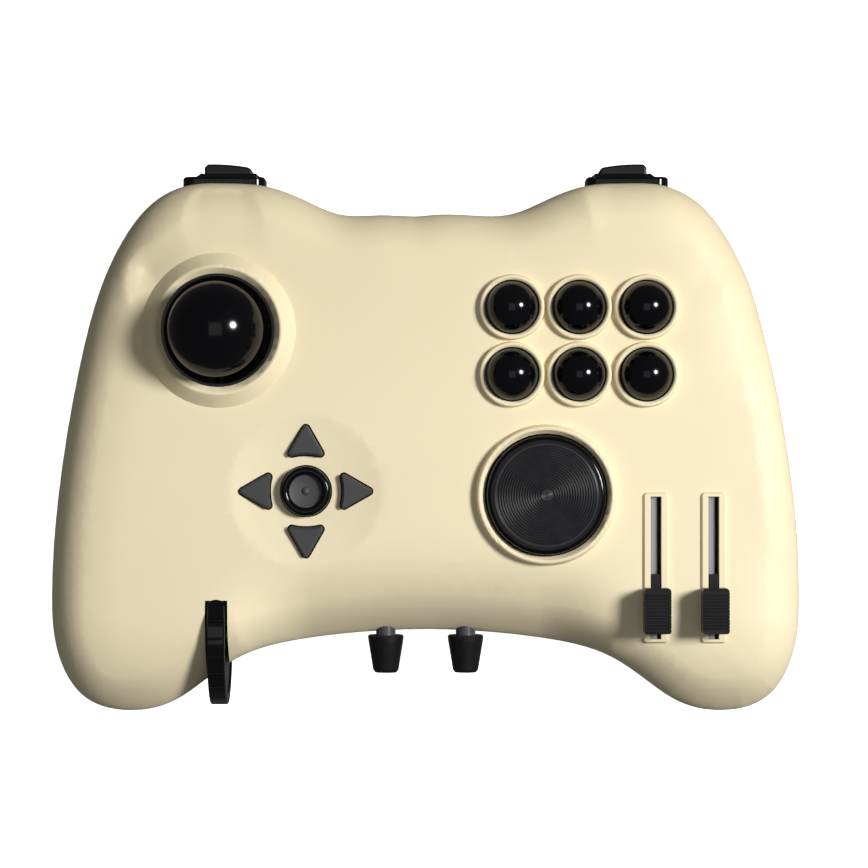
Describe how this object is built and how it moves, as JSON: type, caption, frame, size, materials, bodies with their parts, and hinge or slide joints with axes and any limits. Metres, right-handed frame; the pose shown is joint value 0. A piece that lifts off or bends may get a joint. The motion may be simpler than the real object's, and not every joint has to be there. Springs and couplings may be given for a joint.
{
  "type": "radio transmitter controller",
  "caption": "Two-handed radio transmitter controller with a thumb stick, domed push buttons, arrow pad, dial, sliders, thumbwheel, trim knobs and shoulder buttons.",
  "frame": {"origin": "middle of the controller seen from above, on the surface that its rubber feet stand on", "axes": "+Z out of the control face, +Y away from the user towards the shoulder buttons, +X to the right"},
  "size_m": [0.16, 0.1174, 0.05],
  "materials": {
    "housing": "fine matte moulded texture",
    "black_gloss": "polished black plastic",
    "black_satin": "satin black plastic",
    "key_grey": "dark grey matte plastic",
    "cap_grey": "dark grey, turned look",
    "soft_grey": "soft dark grey rubber",
    "stem_grey": "light grey plastic",
    "foot_rubber": "matte black rubber",
    "silicone": "translucent grey silicone",
    "board_green": "solder mask",
    "steel": "zinc-plated steel",
    "battery_wrap": "shrink wrap",
    "copper": "etched copper strip"
  },
  "bodies": {
    "housing": {"top_shell": "housing", "bottom_shell": "housing", "battery_pack": "battery_wrap", "rubber_feet": "foot_rubber", "case_screws": "steel", "main_board": "board_green", "board_screws": "steel", "usb_port": "steel", "antenna": "copper", "dial_encoder": "black_satin", "pad_switches": "black_satin", "button_pad": "silicone", "stick_socket": "black_gloss", "gimbal_base": "black_satin", "wheel_bracket": "black_satin", "shoulder_switches": "black_satin", "shoulder_boards": "board_green", "slider_track_1": "stem_grey", "trim_pot_1": "black_satin", "slider_track_2": "stem_grey", "trim_pot_2": "black_satin", "shoulder_bezel_left": "black_gloss", "shoulder_bezel_right": "black_gloss"},
    "cradle": {"gimbal_cradle": "black_satin"},
    "stick": {"stick_stem": "black_satin", "stick_skirt": "black_satin", "stick_cap": "black_gloss"},
    "dial": {"dial_ring": "black_gloss", "dial_cap": "cap_grey", "dial_shaft": "steel"},
    "wheel": {"thumbwheel": "black_gloss", "wheel_axle": "steel"},
    "ok_key": {"ok_button": "black_gloss", "ok_insert": "soft_grey"},
    "door": {"battery_door": "housing"},
    "push_1": {"button_1": "black_gloss"},
    "push_2": {"button_2": "black_gloss"},
    "push_3": {"button_3": "black_gloss"},
    "push_4": {"button_4": "black_gloss"},
    "push_5": {"button_5": "black_gloss"},
    "push_6": {"button_6": "black_gloss"},
    "key_up": {"arrow_up": "key_grey"},
    "key_down": {"arrow_down": "key_grey"},
    "key_left": {"arrow_left": "key_grey"},
    "key_right": {"arrow_right": "key_grey"},
    "slider_1": {"slider_carriage_1": "black_satin", "slider_cap_1": "black_satin"},
    "slider_2": {"slider_carriage_2": "black_satin", "slider_cap_2": "black_satin"},
    "trim_1": {"trim_shaft_1": "cap_grey", "trim_knob_1": "black_satin"},
    "trim_2": {"trim_shaft_2": "cap_grey", "trim_knob_2": "black_satin"},
    "shoulder_left": {"shoulder_button_left": "black_satin"},
    "shoulder_right": {"shoulder_button_right": "black_satin"}
  },
  "joints": [
    {"name": "stick_side_tilt", "type": "hinge", "parent": "housing", "child": "cradle", "pos_m": [-0.0438, 0.0227, 0.021], "axis": [0, 1, 0], "range_deg": [-16, 16], "stiffness_Nm_per_rad": 0.02},
    {"name": "stick_fore_tilt", "type": "hinge", "parent": "cradle", "child": "stick", "pos_m": [-0.0438, 0.0227, 0.021], "axis": [1, 0, 0], "range_deg": [-16, 16], "stiffness_Nm_per_rad": 0.02},
    {"name": "dial_turn", "type": "hinge", "parent": "housing", "child": "dial", "pos_m": [0.0255, -0.0121, 0.03], "axis": [0, 0, 1], "continuous": true},
    {"name": "wheel_turn", "type": "hinge", "parent": "housing", "child": "wheel", "pos_m": [-0.0443, -0.0424, 0.0197], "axis": [1, 0, 0], "continuous": true},
    {"name": "ok_press", "type": "slide", "parent": "housing", "child": "ok_key", "axis": [0, 0, -1], "range_m": [0, 0.0009], "stiffness_N_per_m": 900},
    {"name": "door_lift", "type": "slide", "parent": "housing", "child": "door", "axis": [0, 0, -1], "range_m": [0, 0.02]},
    {"name": "push_1_press", "type": "slide", "parent": "housing", "child": "push_1", "axis": [0, 0, -1], "range_m": [0, 0.0012], "stiffness_N_per_m": 900},
    {"name": "push_2_press", "type": "slide", "parent": "housing", "child": "push_2", "axis": [0, 0, -1], "range_m": [0, 0.0012], "stiffness_N_per_m": 900},
    {"name": "push_3_press", "type": "slide", "parent": "housing", "child": "push_3", "axis": [0, 0, -1], "range_m": [0, 0.0012], "stiffness_N_per_m": 900},
    {"name": "push_4_press", "type": "slide", "parent": "housing", "child": "push_4", "axis": [0, 0, -1], "range_m": [0, 0.0012], "stiffness_N_per_m": 900},
    {"name": "push_5_press", "type": "slide", "parent": "housing", "child": "push_5", "axis": [0, 0, -1], "range_m": [0, 0.0012], "stiffness_N_per_m": 900},
    {"name": "push_6_press", "type": "slide", "parent": "housing", "child": "push_6", "axis": [0, 0, -1], "range_m": [0, 0.0012], "stiffness_N_per_m": 900},
    {"name": "key_up_press", "type": "slide", "parent": "housing", "child": "key_up", "axis": [0, 0, -1], "range_m": [0, 0.0009], "stiffness_N_per_m": 900},
    {"name": "key_down_press", "type": "slide", "parent": "housing", "child": "key_down", "axis": [0, 0, -1], "range_m": [0, 0.0009], "stiffness_N_per_m": 900},
    {"name": "key_left_press", "type": "slide", "parent": "housing", "child": "key_left", "axis": [0, 0, -1], "range_m": [0, 0.0009], "stiffness_N_per_m": 900},
    {"name": "key_right_press", "type": "slide", "parent": "housing", "child": "key_right", "axis": [0, 0, -1], "range_m": [0, 0.0009], "stiffness_N_per_m": 900},
    {"name": "slider_1_slide", "type": "slide", "parent": "housing", "child": "slider_1", "axis": [0, 1, 0], "range_m": [0, 0.0161]},
    {"name": "slider_2_slide", "type": "slide", "parent": "housing", "child": "slider_2", "axis": [0, 1, 0], "range_m": [0, 0.0161]},
    {"name": "trim_1_turn", "type": "hinge", "parent": "housing", "child": "trim_1", "pos_m": [-0.0086, -0.04, 0.0185], "axis": [0, 1, 0], "range_deg": [-140, 140]},
    {"name": "trim_2_turn", "type": "hinge", "parent": "housing", "child": "trim_2", "pos_m": [0.0086, -0.04, 0.0185], "axis": [0, 1, 0], "range_deg": [-140, 140]},
    {"name": "shoulder_left_press", "type": "slide", "parent": "housing", "child": "shoulder_left", "axis": [0, -1, 0], "range_m": [0, 0.0014], "stiffness_N_per_m": 900},
    {"name": "shoulder_right_press", "type": "slide", "parent": "housing", "child": "shoulder_right", "axis": [0, -1, 0], "range_m": [0, 0.0014], "stiffness_N_per_m": 900}
  ]
}
